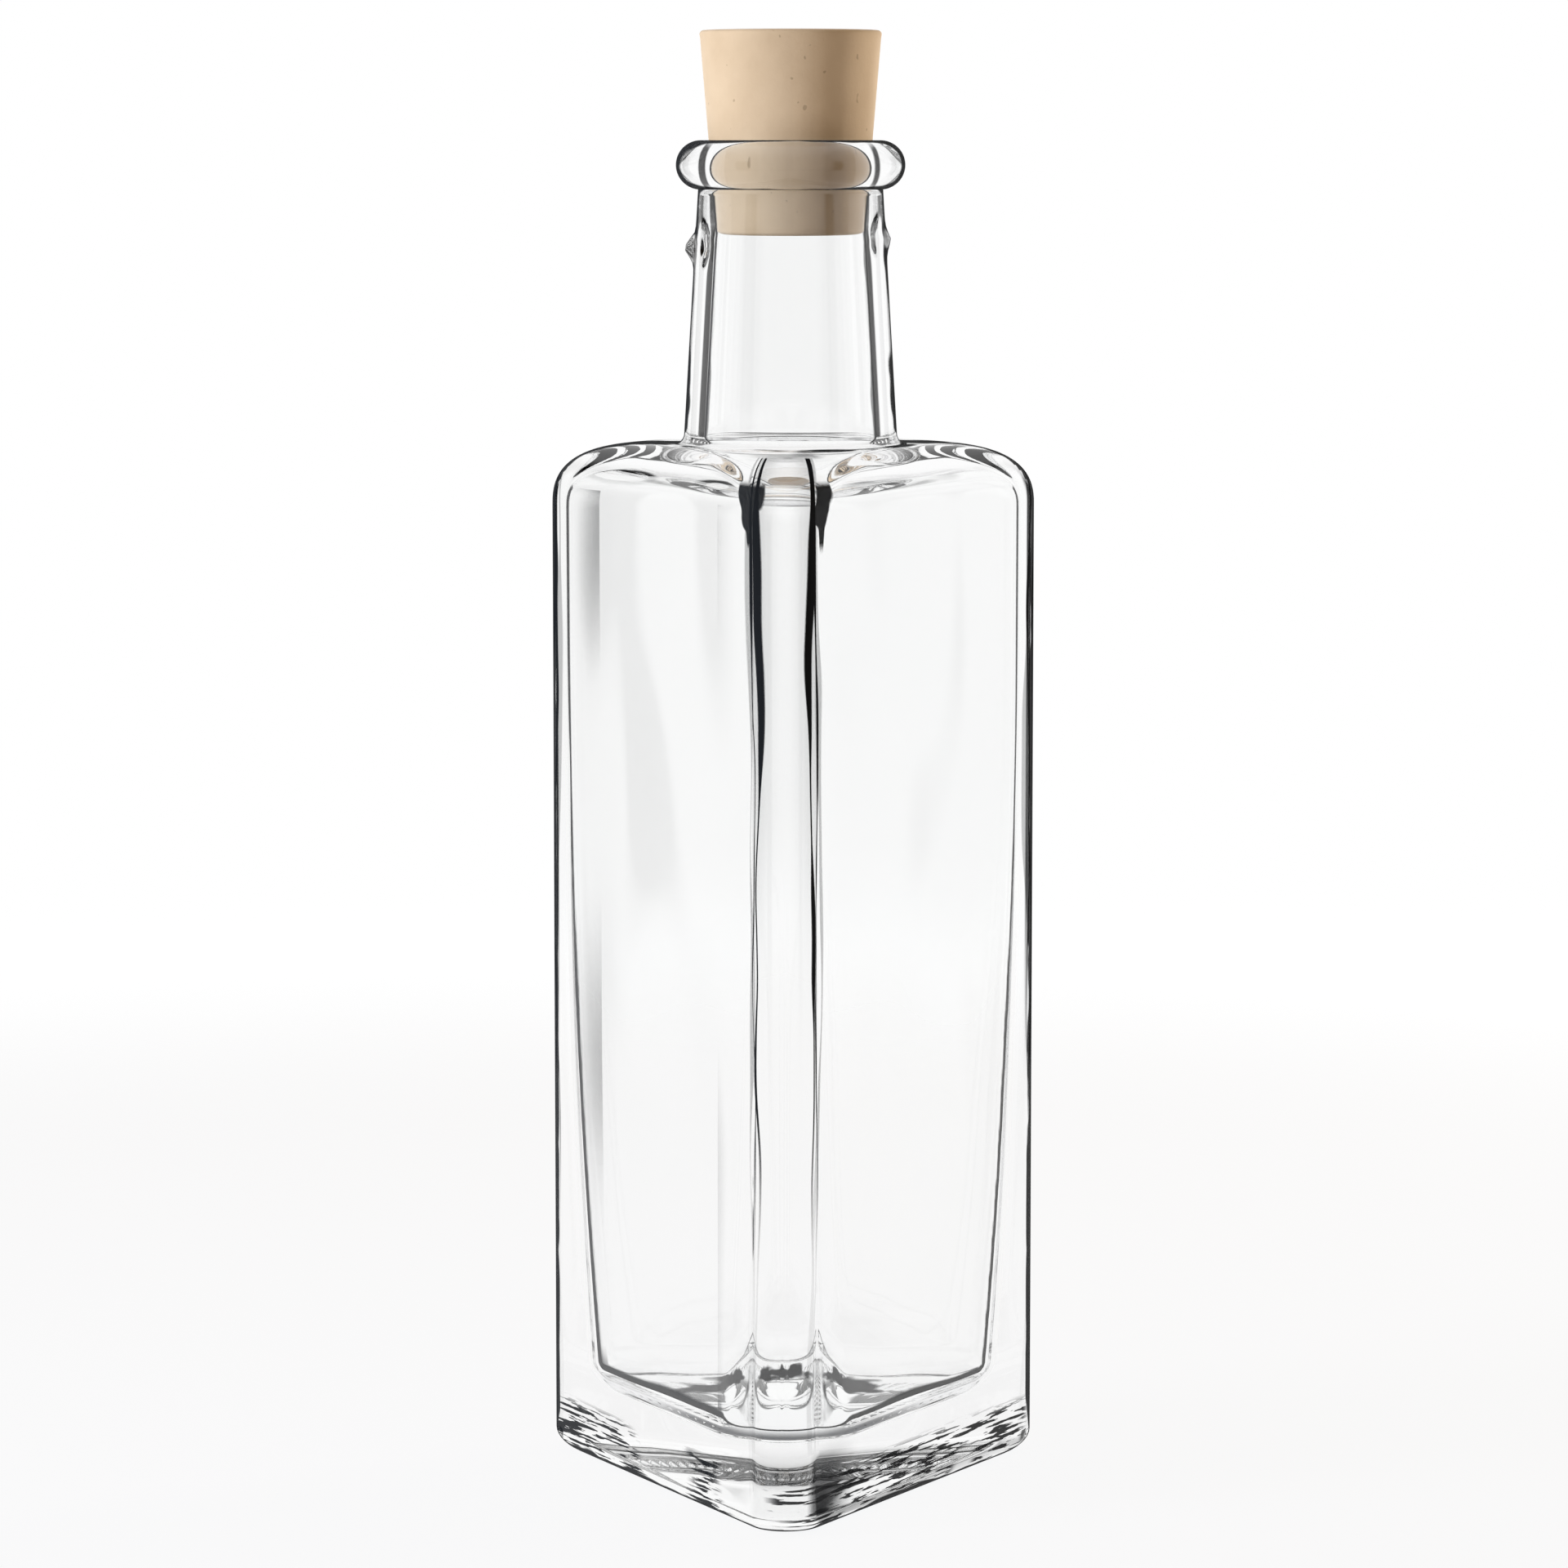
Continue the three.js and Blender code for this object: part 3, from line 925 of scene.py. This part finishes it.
def glass_material():
    """Clear glass that turns black where dark refraction and shade are painted on it, and casts a pale
    shadow.
    """
    material = bpy.data.materials.new("clear_glass")
    material.use_nodes = True
    nodes, links = material.node_tree.nodes, material.node_tree.links
    nodes.clear()
    texture_place = nodes.new("ShaderNodeTexCoord")
    place = texture_place.outputs["Object"]
    glass = nodes.new("ShaderNodeBsdfPrincipled")
    glass.inputs["Transmission Weight"].default_value = 1.0
    glass.inputs["IOR"].default_value = GLASS_INDEX
    glass.inputs["Roughness"].default_value = 0.0
    tint = nodes.new("ShaderNodeValToRGB")
    tint.color_ramp.elements[0].color = TINT_COLOUR
    tint.color_ramp.elements[1].color = WHITE
    links.new(noise_texture(nodes, links, place, TINT_SCALE), tint.inputs["Fac"])
    links.new(tint.outputs["Color"], glass.inputs["Base Color"])
    black = nodes.new("ShaderNodeBsdfDiffuse")
    black.inputs["Color"].default_value = PAINTED_DARK_COLOUR
    darkness = glass_darkness(nodes, links, place)
    with_painted_dark = mix_shader(nodes, links, darkness, glass.outputs["BSDF"], black.outputs["BSDF"])
    clear = nodes.new("ShaderNodeBsdfTransparent")
    clear.inputs["Color"].default_value = SHADOW_COLOUR
    path = nodes.new("ShaderNodeLightPath")
    in_shadow = path.outputs["Is Shadow Ray"]
    out = nodes.new("ShaderNodeOutputMaterial")
    surface = mix_shader(nodes, links, in_shadow, with_painted_dark, clear.outputs["BSDF"])
    links.new(surface, out.inputs["Surface"])
    return material


def stopper_profile():
    """Radius and height over the stopper's bottom, from the middle of its bottom to its top rim."""
    rows = []
    for share in [0.0] + steps(STOPPER_END_ROWS)[:-1]:
        rows.append((share * (STOPPER_BOTTOM_RADIUS - STOPPER_ROUNDING), 0.0))
    for share in [0.0] + steps(STOPPER_ROUNDING_ROWS):
        turn = math.pi / 2 * share
        out = STOPPER_BOTTOM_RADIUS - STOPPER_ROUNDING * (1 - math.sin(turn))
        rows.append((out, STOPPER_ROUNDING * (1 - math.cos(turn))))
    for share in steps(STOPPER_SIDE_ROWS)[:-1]:
        height = STOPPER_ROUNDING + (STOPPER_LENGTH - 2 * STOPPER_ROUNDING) * share
        rows.append((STOPPER_BOTTOM_RADIUS + STOPPER_SLOPE * height, height))
    for share in [0.0] + steps(STOPPER_ROUNDING_ROWS):
        turn = math.pi / 2 * share
        out = STOPPER_TOP_RADIUS - STOPPER_ROUNDING * (1 - math.cos(turn))
        rows.append((out, STOPPER_LENGTH - STOPPER_ROUNDING * (1 - math.sin(turn))))
    for share in steps(STOPPER_END_ROWS)[:-1]:
        rows.append(((1 - share) * (STOPPER_TOP_RADIUS - STOPPER_ROUNDING), STOPPER_LENGTH))
    return rows


def make_stopper():
    rows = stopper_profile()
    count = STOPPER_COLUMNS
    angles = np.arange(count) * 2 * math.pi / count
    points = [(0.0, 0.0, STOPPER_BOTTOM)]
    for radius, height in rows[1:]:
        for angle in angles:
            points.append((radius * math.cos(angle), radius * math.sin(angle), STOPPER_BOTTOM + height))
    points.append((0.0, 0.0, STOPPER_BOTTOM + STOPPER_LENGTH))
    faces = []
    levels = len(rows) - 1
    last = 1 + levels * count
    for i in range(count):
        j = (i + 1) % count
        faces.append((0, 1 + j, 1 + i))
        for level in range(levels - 1):
            low, high = 1 + level * count, 1 + (level + 1) * count
            faces.append((low + i, low + j, high + j, high + i))
        faces.append((last - count + i, last - count + j, last))
    return new_object("stopper_body", points, faces)


def stopper_material():
    """Cloudy beige rubber with a few small specks and a fine grain."""
    material = bpy.data.materials.new("stopper_rubber")
    material.use_nodes = True
    nodes, links = material.node_tree.nodes, material.node_tree.links
    shader = nodes["Principled BSDF"]
    shader.inputs["Roughness"].default_value = STOPPER_ROUGHNESS
    texture_place = nodes.new("ShaderNodeTexCoord")
    place = texture_place.outputs["Object"]
    tone = nodes.new("ShaderNodeValToRGB")
    stops = tone.color_ramp.elements
    stops[0].position, stops[1].position = CLOUD_RANGE
    stops[0].color = STOPPER_DARK_TONE
    stops[1].color = STOPPER_PALE_TONE
    links.new(noise_texture(nodes, links, place, CLOUD_SCALE, CLOUD_DETAIL), tone.inputs["Fac"])
    speck = noise_texture(nodes, links, place, SPECK_SCALE, 0.0)
    spotted = nodes.new("ShaderNodeMix")
    spotted.data_type = "RGBA"
    dark = smooth_range(nodes, links, speck, SPECK_RANGE, 0.0, SPECK_DARKNESS)
    links.new(dark, spotted.inputs["Factor"])
    links.new(tone.outputs["Color"], spotted.inputs["A"])
    spotted.inputs["B"].default_value = SPECK_COLOUR
    links.new(spotted.outputs["Result"], shader.inputs["Base Color"])
    bump = nodes.new("ShaderNodeBump")
    bump.inputs["Strength"].default_value = GRAIN_STRENGTH
    bump.inputs["Distance"].default_value = GRAIN_DEPTH
    links.new(noise_texture(nodes, links, place, GRAIN_SCALE), bump.inputs["Height"])
    links.new(bump.outputs["Normal"], shader.inputs["Normal"])
    return material


def ray_history(nodes, links, path):
    """Whether a ray was scattered, mirrored or bent by glass on its way."""
    scattered = math_node(nodes, links, "GREATER_THAN", path.outputs["Diffuse Depth"], 0.5)
    mirrored = math_node(nodes, links, "GREATER_THAN", path.outputs["Glossy Depth"], 0.5)
    inside = math_node(nodes, links, "GREATER_THAN", path.outputs["Transmission Depth"], 0.5)
    return scattered, mirrored, inside


def studio_cards(nodes, links, right, away):
    """Pale surroundings with narrow dark cards on both sides, by the direction a ray leaves in."""
    # 0.5 is along the depth, lower is left and higher is right, the same in front and behind
    depth = math_node(nodes, links, "ABSOLUTE", away, 0.0)
    turned = math_node(nodes, links, "ARCTAN2", right, depth)
    turned = math_node(nodes, links, "DIVIDE", turned, 2 * math.pi)
    turned = math_node(nodes, links, "ADD", turned, 0.5)
    around = nodes.new("ShaderNodeValToRGB")
    stops = around.color_ramp.elements
    stops[0].position, stops[0].color = 0.0, WHITE
    stops[1].position, stops[1].color = 1.0, WHITE
    for position, tone in STUDIO_RAMP:
        stop = stops.new(position)
        stop.color = (tone, tone, tone, 1)
    links.new(turned, around.inputs["Fac"])
    return around.outputs["Color"]


def make_world():
    """White for the camera, a studio with dark cards for the glass and dim warm light for the rest."""
    world = bpy.data.worlds.new("studio")
    bpy.context.scene.world = world
    world.use_nodes = True
    nodes, links = world.node_tree.nodes, world.node_tree.links
    nodes.clear()
    place = nodes.new("ShaderNodeTexCoord")
    split = nodes.new("ShaderNodeSeparateXYZ")
    links.new(place.outputs["Generated"], split.inputs["Vector"])
    right, away, up = split.outputs["X"], split.outputs["Y"], split.outputs["Z"]
    path = nodes.new("ShaderNodeLightPath")
    scattered, mirrored, inside = ray_history(nodes, links, path)
    # light that turned back inside the glass is dimmer on the camera's side
    returned = math_node(nodes, links, "LESS_THAN", away, 0.0)
    returned = math_node(nodes, links, "MULTIPLY", returned, inside)
    dimmed = mix_value(nodes, links, returned, 1.0, STUDIO_BACK)
    cards = math_node(nodes, links, "MULTIPLY", studio_cards(nodes, links, right, away), dimmed)
    overhead = smooth_range(nodes, links, up, OVERHEAD_RISE, 0.0, OVERHEAD_TONE)
    studio = math_node(nodes, links, "MAXIMUM", cards, overhead)
    # a ray that crossed both walls of the hollow body without a reflection sees plain white
    crossed = math_node(nodes, links, "GREATER_THAN", path.outputs["Transmission Depth"], MOST_BENDS)
    bent = math_node(nodes, links, "SUBTRACT", 1.0, crossed)
    bent = math_node(nodes, links, "MAXIMUM", bent, mirrored)
    through_glass = math_node(nodes, links, "MAXIMUM", mirrored, inside)
    through_glass = math_node(nodes, links, "MULTIPLY", through_glass, bent)
    seen = mix_value(nodes, links, through_glass, 1.0, studio)
    lit = nodes.new("ShaderNodeMix")
    lit.data_type = "RGBA"
    links.new(scattered, lit.inputs["Factor"])
    links.new(seen, lit.inputs["A"])
    lit.inputs["B"].default_value = AMBIENT
    back = nodes.new("ShaderNodeBackground")
    links.new(lit.outputs["Result"], back.inputs["Color"])
    out = nodes.new("ShaderNodeOutputWorld")
    links.new(back.outputs["Background"], out.inputs["Surface"])


def floor_material():
    """Pale floor, mostly glowing and partly matt, which stays nearly white but keeps a soft shadow."""
    material = bpy.data.materials.new("pale_floor")
    material.use_nodes = True
    nodes, links = material.node_tree.nodes, material.node_tree.links
    nodes.clear()
    matt = nodes.new("ShaderNodeBsdfDiffuse")
    matt.inputs["Color"].default_value = FLOOR_COLOUR
    glow = nodes.new("ShaderNodeEmission")
    path = nodes.new("ShaderNodeLightPath")
    scattered, mirrored, inside = ray_history(nodes, links, path)
    place = nodes.new("ShaderNodeTexCoord")
    length = nodes.new("ShaderNodeVectorMath")
    length.operation = "LENGTH"
    links.new(place.outputs["Object"], length.inputs[0])
    from_middle = length.outputs["Value"]
    # painted shadow: mirrored inside the glass, the middle of the floor is dark
    under = smooth_range(nodes, links, from_middle, PAINTED_FLOOR_SHADOW_RANGE, PAINTED_FLOOR_SHADOW, 1.0)
    mirrored_glow = mix_value(nodes, links, inside, MIRRORED_FLOOR, under)
    links.new(mix_value(nodes, links, mirrored, 1.0, mirrored_glow), glow.inputs["Strength"])
    share = mix_value(nodes, links, scattered, FLOOR_GLOW, 0.0)
    lit = mix_shader(nodes, links, share, matt.outputs["BSDF"], glow.outputs["Emission"])
    # the floor fades into the backdrop away from the bottle
    gone = smooth_range(nodes, links, from_middle, FLOOR_FADE, 0.0, 1.0)
    clear = nodes.new("ShaderNodeBsdfTransparent")
    out = nodes.new("ShaderNodeOutputMaterial")
    faded = mix_shader(nodes, links, gone, lit, clear.outputs["BSDF"])
    links.new(faded, out.inputs["Surface"])
    return material


def make_floor():
    """A plain floor just under the bottle."""
    size = FLOOR_SIZE
    mesh = bpy.data.meshes.new("floor")
    corners = [(-size, -size, 0), (size, -size, 0), (size, size, 0), (-size, size, 0)]
    mesh.from_pydata(corners, [], [(0, 1, 2, 3)])
    floor = bpy.data.objects.new("floor", mesh)
    floor.location.z = cad_low[2] - FLOOR_GAP
    bpy.context.scene.collection.objects.link(floor)
    mesh.materials.append(floor_material())


def make_lamp(name, place, size, power, colour):
    """An area lamp turned to the foot of the neck, which the glass doesn't show."""
    data = bpy.data.lights.new(name, "AREA")
    data.shape = "RECTANGLE"
    data.size, data.size_y = size
    data.energy = power
    data.color = colour
    lamp = bpy.data.objects.new(name, data)
    lamp.location = place
    direction = Vector(LAMP_TARGET) - Vector(place)
    lamp.rotation_euler = direction.to_track_quat("-Z", "Y").to_euler()
    lamp.visible_glossy = False
    lamp.visible_transmission = False
    bpy.context.scene.collection.objects.link(lamp)


make_camera()
bottle = make_bottle()
bottle.data.materials.append(glass_material())
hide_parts("bottle")
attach(bottle, "bottle")
stopper = make_stopper()
stopper.data.materials.append(stopper_material())
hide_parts("stopper")
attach(stopper, "stopper")
make_world()
make_floor()
make_lamp("key", KEY_PLACE, KEY_SIZE, KEY_POWER, KEY_COLOUR)
make_lamp("rim", RIM_PLACE, RIM_SIZE, RIM_POWER, RIM_COLOUR)

scene = bpy.context.scene
scene.view_settings.view_transform = "Standard"
scene.cycles.max_bounces = 24
scene.cycles.glossy_bounces = 16
scene.cycles.transmission_bounces = 20
scene.cycles.transparent_max_bounces = 16
